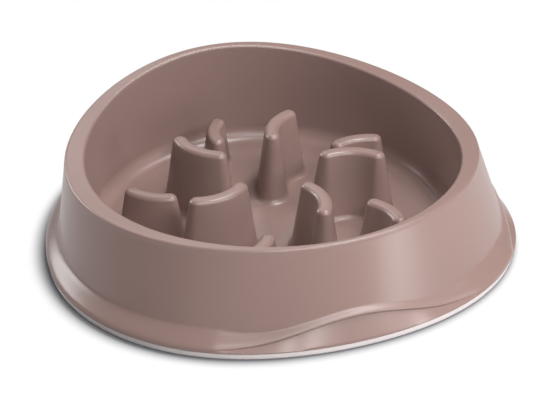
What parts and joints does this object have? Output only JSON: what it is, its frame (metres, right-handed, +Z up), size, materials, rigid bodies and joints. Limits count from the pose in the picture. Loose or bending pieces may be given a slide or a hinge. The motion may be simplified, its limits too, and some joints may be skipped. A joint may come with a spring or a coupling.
{
  "type": "slow feeder bowl",
  "caption": "Round pet bowl with a saddle rim, a flared skirt with a waved hem, curved fins that slow eating, and a soft non-slip ring under it.",
  "frame": {"origin": "on the table, at the centre of the bowl's outline", "axes": "+Z up, +Y towards the back, where the rim is highest and one of the three base corners lies, +X to the right"},
  "size_m": [0.2822, 0.2806, 0.0724],
  "materials": {
    "bowl_plastic": "satin",
    "ring_rubber": "soft matte"
  },
  "bodies": {
    "root": {"bowl": "bowl_plastic", "non_slip_ring": "ring_rubber"}
  },
  "joints": []
}
